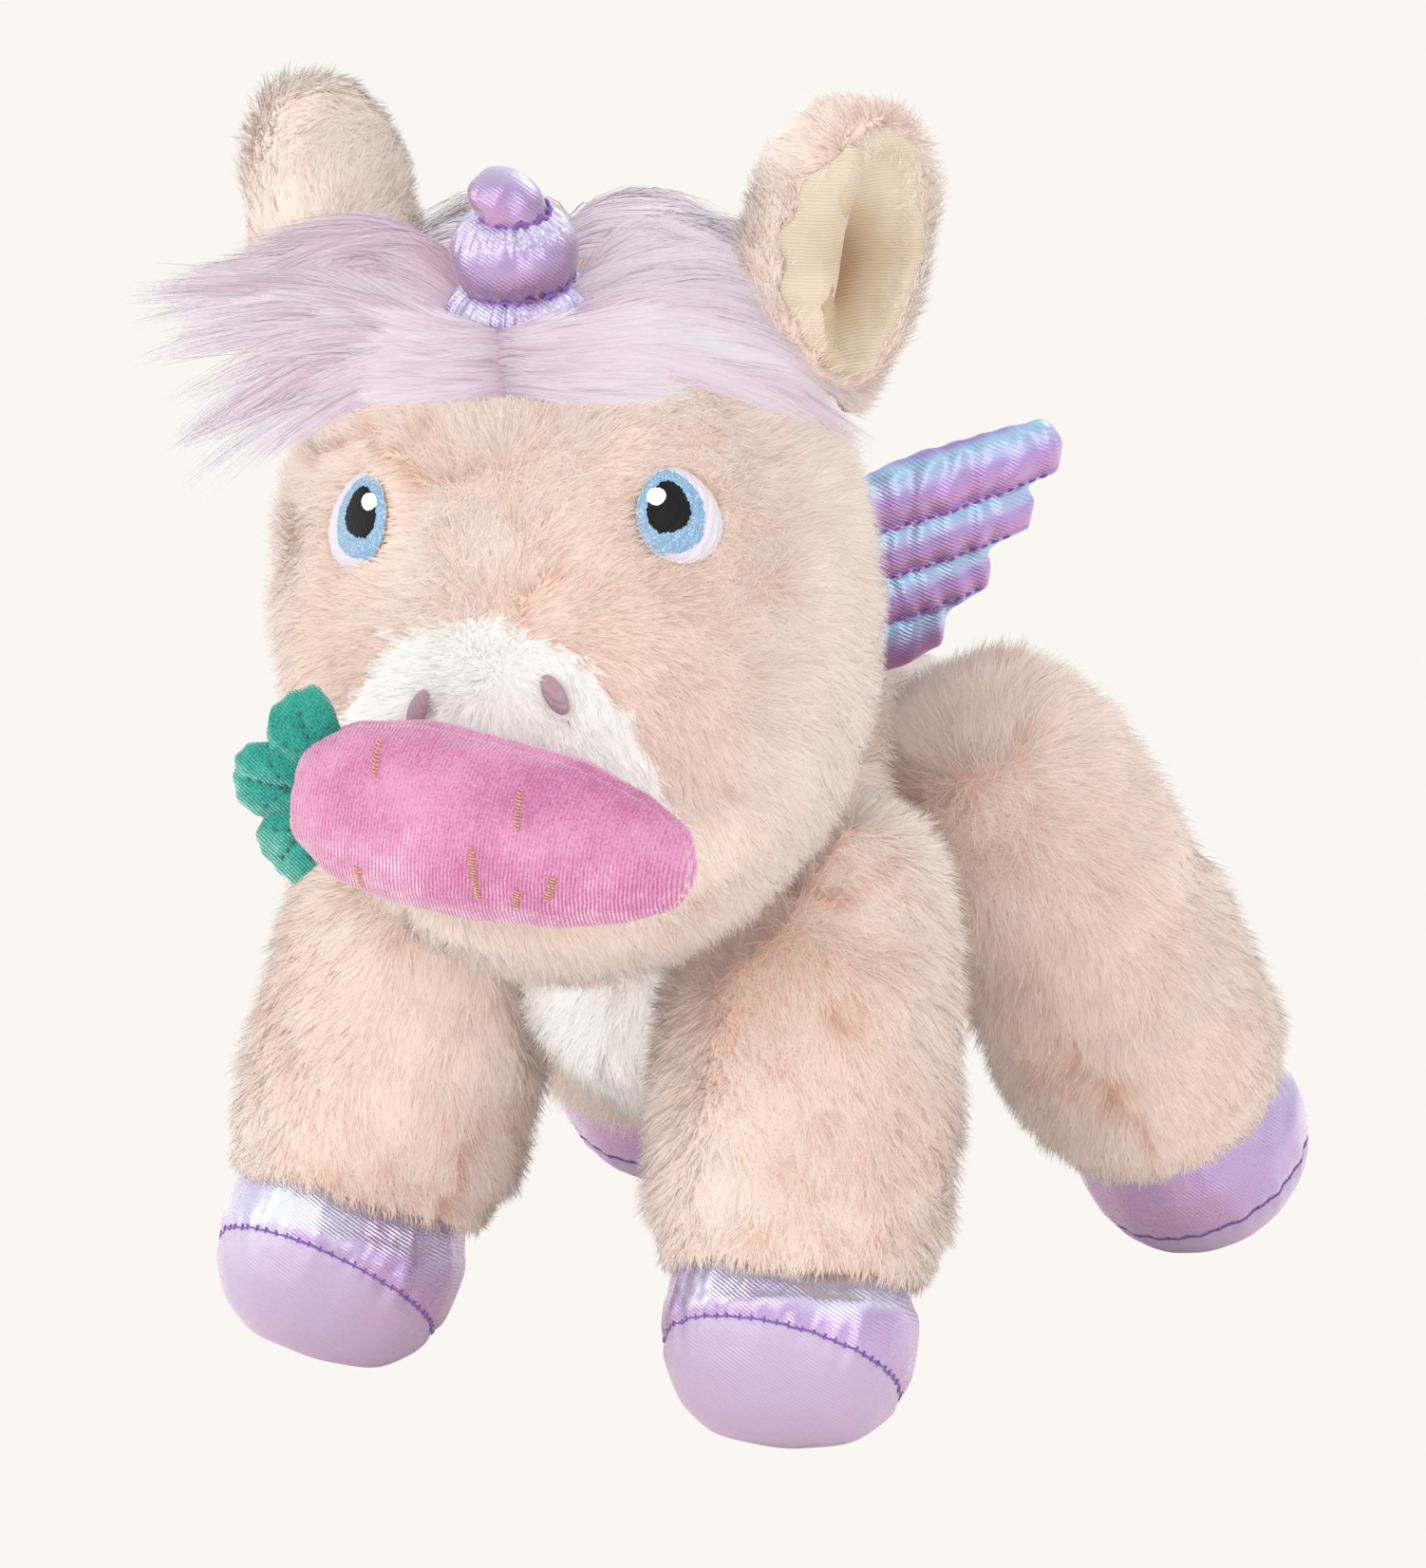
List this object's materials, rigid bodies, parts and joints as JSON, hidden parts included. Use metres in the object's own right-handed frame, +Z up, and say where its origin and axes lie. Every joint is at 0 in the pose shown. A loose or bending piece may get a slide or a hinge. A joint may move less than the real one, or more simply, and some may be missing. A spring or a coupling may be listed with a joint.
{
  "type": "plush unicorn",
  "caption": "Standing plush unicorn toy with a gathered foil horn, small foil wings and hooves, and a velvet carrot held at its mouth by magnets.",
  "frame": {"origin": "on the floor, under the middle of the toy's box", "axes": "-Y the way the toy faces, +X its left side, +Z up"},
  "size_m": [0.1837, 0.295, 0.2804],
  "materials": {
    "blush_plush": "long soft pile, blush pink",
    "white_plush": "long soft pile, white",
    "mane_pile": "very long silky pile, lilac and pink",
    "foil_cloth": "lilac foil cloth with a pearly sheen",
    "sole_foil": "lilac foil cloth, less shiny",
    "ear_satin": "cream ribbed satin",
    "carrot_velvet": "pink ribbed velvet",
    "leaf_velvet": "green velvet",
    "white_thread": "satin stitch",
    "blue_thread": "satin stitch with a glitter thread",
    "black_thread": "satin stitch",
    "mauve_thread": "satin stitch",
    "fibre_fill": "loose polyester wadding",
    "magnet_steel": "nickel plated"
  },
  "bodies": {
    "torso": {"torso_cover": "blush_plush", "belly_panel": "white_plush", "torso_fill": "fibre_fill"},
    "head": {"head_cover": "blush_plush", "muzzle_panel": "white_plush", "head_fill": "fibre_fill", "mouth_magnet": "magnet_steel", "eye_whites": "white_thread", "eye_irises": "blue_thread", "eye_pupils": "black_thread", "eye_glints": "white_thread", "nostrils": "mauve_thread", "horn": "foil_cloth", "forelock": "mane_pile", "mane_crest": "mane_pile"},
    "ear_left": {"ear_left_back": "blush_plush", "ear_left_lining": "ear_satin"},
    "ear_right": {"ear_right_back": "blush_plush", "ear_right_lining": "ear_satin"},
    "wing_left": {"wing_left": "foil_cloth"},
    "wing_right": {"wing_right": "foil_cloth"},
    "leg_front_left": {"leg_front_left_cover": "blush_plush", "leg_front_left_fill": "fibre_fill", "hoof_front_left": "foil_cloth", "sole_front_left": "sole_foil"},
    "leg_front_right": {"leg_front_right_cover": "blush_plush", "leg_front_right_fill": "fibre_fill", "hoof_front_right": "foil_cloth", "sole_front_right": "sole_foil"},
    "leg_rear_left": {"leg_rear_left_cover": "blush_plush", "leg_rear_left_fill": "fibre_fill", "hoof_rear_left": "foil_cloth", "sole_rear_left": "sole_foil"},
    "leg_rear_right": {"leg_rear_right_cover": "blush_plush", "leg_rear_right_fill": "fibre_fill", "hoof_rear_right": "foil_cloth", "sole_rear_right": "sole_foil"},
    "tail": {"tail": "mane_pile"},
    "carrot": {"carrot_cover": "carrot_velvet", "carrot_fill": "fibre_fill", "carrot_leaves": "leaf_velvet", "carrot_magnet": "magnet_steel"}
  },
  "joints": [
    {"name": "neck_turn", "type": "hinge", "parent": "torso", "child": "head", "pos_m": [0.003, -0.0505, 0.173], "axis": [-0.0421, -0.0113, 0.999], "range_deg": [-12, 12], "stiffness_Nm_per_rad": 0.5},
    {"name": "ear_left_fold", "type": "hinge", "parent": "head", "child": "ear_left", "pos_m": [0.04576, -0.03016, 0.22166], "axis": [0.392, 0.9114, -0.125], "range_deg": [-12, 12], "stiffness_Nm_per_rad": 0.08},
    {"name": "ear_right_fold", "type": "hinge", "parent": "head", "child": "ear_right", "pos_m": [-0.0461, -0.05517, 0.22118], "axis": [0.0191, -0.9988, -0.0445], "range_deg": [-12, 12], "stiffness_Nm_per_rad": 0.08},
    {"name": "wing_left_flap", "type": "hinge", "parent": "torso", "child": "wing_left", "pos_m": [0.01, 0.0375, 0.142], "axis": [0.6428, 0.766, 0], "range_deg": [-15, 15], "stiffness_Nm_per_rad": 0.05},
    {"name": "wing_right_flap", "type": "hinge", "parent": "torso", "child": "wing_right", "pos_m": [-0.01, 0.0375, 0.142], "axis": [0.6428, -0.766, 0], "range_deg": [-15, 15], "stiffness_Nm_per_rad": 0.05},
    {"name": "leg_front_left_swing", "type": "hinge", "parent": "torso", "child": "leg_front_left", "pos_m": [0.045, -0.0225, 0.109], "axis": [1, 0, 0], "range_deg": [-8, 8], "stiffness_Nm_per_rad": 2.5},
    {"name": "leg_front_right_swing", "type": "hinge", "parent": "torso", "child": "leg_front_right", "pos_m": [-0.045, -0.0225, 0.109], "axis": [1, 0, 0], "range_deg": [-8, 8], "stiffness_Nm_per_rad": 2.5},
    {"name": "leg_rear_left_swing", "type": "hinge", "parent": "torso", "child": "leg_rear_left", "pos_m": [0.0495, 0.0545, 0.117], "axis": [1, 0, 0], "range_deg": [-8, 8], "stiffness_Nm_per_rad": 2.5},
    {"name": "leg_rear_right_swing", "type": "hinge", "parent": "torso", "child": "leg_rear_right", "pos_m": [-0.0495, 0.0545, 0.117], "axis": [1, 0, 0], "range_deg": [-8, 8], "stiffness_Nm_per_rad": 2.5},
    {"name": "tail_lift", "type": "hinge", "parent": "torso", "child": "tail", "pos_m": [0, 0.1105, 0.113], "axis": [1, 0, 0], "range_deg": [0, 40]},
    {"name": "carrot_pull", "type": "slide", "parent": "head", "child": "carrot", "axis": [0.2588, -0.9659, 0], "range_m": [0, 0.06]}
  ]
}
